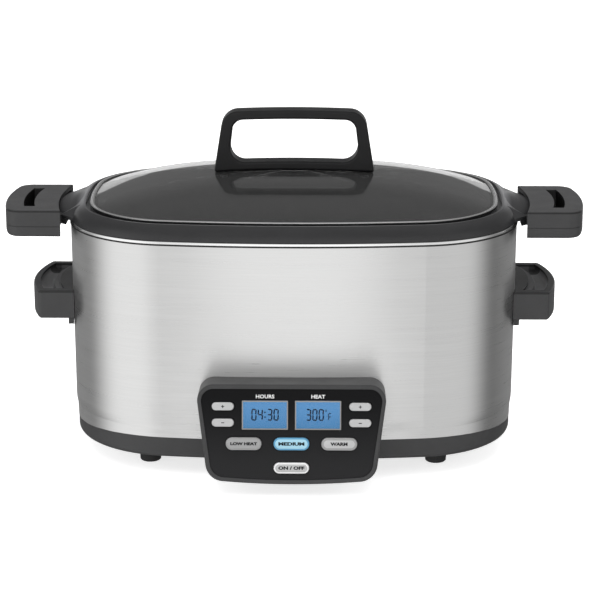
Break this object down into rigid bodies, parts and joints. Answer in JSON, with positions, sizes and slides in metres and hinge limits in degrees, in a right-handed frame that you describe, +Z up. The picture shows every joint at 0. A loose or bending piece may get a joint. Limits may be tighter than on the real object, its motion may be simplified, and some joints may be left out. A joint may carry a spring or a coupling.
{
  "type": "slow cooker",
  "caption": "Oval slow cooker: brushed steel housing with a front control panel, heating well and plate, lift-out dark cooking pot with handles, and a domed glass lid.",
  "frame": {"origin": "on the surface that the feet stand on, below the centre of the overall box", "axes": "+X to the right as seen from the front, -Y towards the control panel side, +Z up"},
  "size_m": [0.4624, 0.2853, 0.2701],
  "materials": {
    "brushed_steel": "horizontal brushed",
    "polished_steel": "polished",
    "dark_coating": "satin non-stick coating",
    "charcoal_plastic": "fine textured",
    "black_plastic": "satin",
    "foot_rubber": "matt",
    "fascia_black": "satin gloss",
    "clear_lens": "clear",
    "display_blue": "backlit",
    "button_silver": "satin metallic",
    "button_blue": "satin",
    "button_grey": "satin",
    "button_white": "satin",
    "dark_glass": "tinted",
    "silicone": "matt",
    "aluminised_steel": "satin",
    "cast_aluminium": "cast",
    "element_steel": "oxidised",
    "fastener_steel": "plated",
    "fibre_blanket": "felted",
    "circuit_board": "solder mask",
    "transformer_iron": "laminated",
    "fuse_body": "plated",
    "wire_insulation": "sleeved"
  },
  "bodies": {
    "housing": {"base_screws": "fastener_steel", "base_tray": "charcoal_plastic", "button_switches": "black_plastic", "control_board": "circuit_board", "control_board_screws": "fastener_steel", "cord_gland": "black_plastic", "foot_front_left": "foot_rubber", "foot_front_right": "foot_rubber", "foot_rear_left": "foot_rubber", "foot_rear_right": "foot_rubber", "heat_shield": "aluminised_steel", "heater_leads": "wire_insulation", "heating_element": "element_steel", "heating_liner": "aluminised_steel", "hot_plate": "cast_aluminium", "housing_handle_screws": "fastener_steel", "housing_shell": "brushed_steel", "insulation_blanket": "fibre_blanket", "left_handle_plate": "aluminised_steel", "left_housing_handle": "charcoal_plastic", "panel_fascia": "fascia_black", "panel_housing": "charcoal_plastic", "panel_screws": "fastener_steel", "power_board": "circuit_board", "power_board_screws": "fastener_steel", "relay": "black_plastic", "ribbon_cable": "wire_insulation", "right_handle_plate": "aluminised_steel", "right_housing_handle": "charcoal_plastic", "sensor_holder": "aluminised_steel", "sensor_spring": "element_steel", "support_posts": "fastener_steel", "temperature_display": "display_blue", "temperature_lens": "clear_lens", "terminal_block": "black_plastic", "thermal_fuse": "fuse_body", "time_display": "display_blue", "time_lens": "clear_lens", "transformer": "transformer_iron", "trim_ring": "polished_steel"},
    "pot": {"cooking_pot": "dark_coating", "left_pot_handle": "charcoal_plastic", "right_pot_handle": "charcoal_plastic", "left_pot_handle_cap": "charcoal_plastic", "right_pot_handle_cap": "charcoal_plastic", "pot_handle_screws": "fastener_steel"},
    "lid": {"lid_glass": "dark_glass", "lid_ring": "polished_steel", "lid_handle": "black_plastic", "lid_handle_washers": "silicone", "lid_handle_screws": "fastener_steel"},
    "sensor_plunger": {"sensor_plunger": "cast_aluminium"},
    "mode_button_left": {"mode_button_left": "button_silver"},
    "mode_button_middle": {"mode_button_middle": "button_blue"},
    "mode_button_right": {"mode_button_right": "button_grey"},
    "start_button": {"start_button": "button_white"},
    "temperature_down_button": {"temperature_down_button": "button_silver"},
    "temperature_up_button": {"temperature_up_button": "button_silver"},
    "time_down_button": {"time_down_button": "button_silver"},
    "time_up_button": {"time_up_button": "button_silver"}
  },
  "joints": [
    {"name": "pot_lift", "type": "slide", "parent": "housing", "child": "pot", "axis": [0, 0, 1], "range_m": [0, 0.17]},
    {"name": "lid_lift", "type": "slide", "parent": "pot", "child": "lid", "axis": [0, 0, 1], "range_m": [0, 0.13]},
    {"name": "sensor_press", "type": "slide", "parent": "housing", "child": "sensor_plunger", "axis": [0, 0, 1], "range_m": [-0.0025, 0], "stiffness_N_per_m": 400, "springref_m": 0.002, "deforming": ["sensor_spring"]},
    {"name": "mode_button_left_press", "type": "slide", "parent": "housing", "child": "mode_button_left", "axis": [0, 0.9781, -0.2079], "range_m": [0, 0.0008], "stiffness_N_per_m": 400, "springref_m": -0.001},
    {"name": "mode_button_middle_press", "type": "slide", "parent": "housing", "child": "mode_button_middle", "axis": [0, 0.9781, -0.2079], "range_m": [0, 0.0008], "stiffness_N_per_m": 400, "springref_m": -0.001},
    {"name": "mode_button_right_press", "type": "slide", "parent": "housing", "child": "mode_button_right", "axis": [0, 0.9781, -0.2079], "range_m": [0, 0.0008], "stiffness_N_per_m": 400, "springref_m": -0.001},
    {"name": "start_button_press", "type": "slide", "parent": "housing", "child": "start_button", "axis": [0, 0.9781, -0.2079], "range_m": [0, 0.0008], "stiffness_N_per_m": 400, "springref_m": -0.001},
    {"name": "temperature_down_button_press", "type": "slide", "parent": "housing", "child": "temperature_down_button", "axis": [0, 0.9781, -0.2079], "range_m": [0, 0.0008], "stiffness_N_per_m": 400, "springref_m": -0.001},
    {"name": "temperature_up_button_press", "type": "slide", "parent": "housing", "child": "temperature_up_button", "axis": [0, 0.9781, -0.2079], "range_m": [0, 0.0008], "stiffness_N_per_m": 400, "springref_m": -0.001},
    {"name": "time_down_button_press", "type": "slide", "parent": "housing", "child": "time_down_button", "axis": [0, 0.9781, -0.2079], "range_m": [0, 0.0008], "stiffness_N_per_m": 400, "springref_m": -0.001},
    {"name": "time_up_button_press", "type": "slide", "parent": "housing", "child": "time_up_button", "axis": [0, 0.9781, -0.2079], "range_m": [0, 0.0008], "stiffness_N_per_m": 400, "springref_m": -0.001}
  ]
}
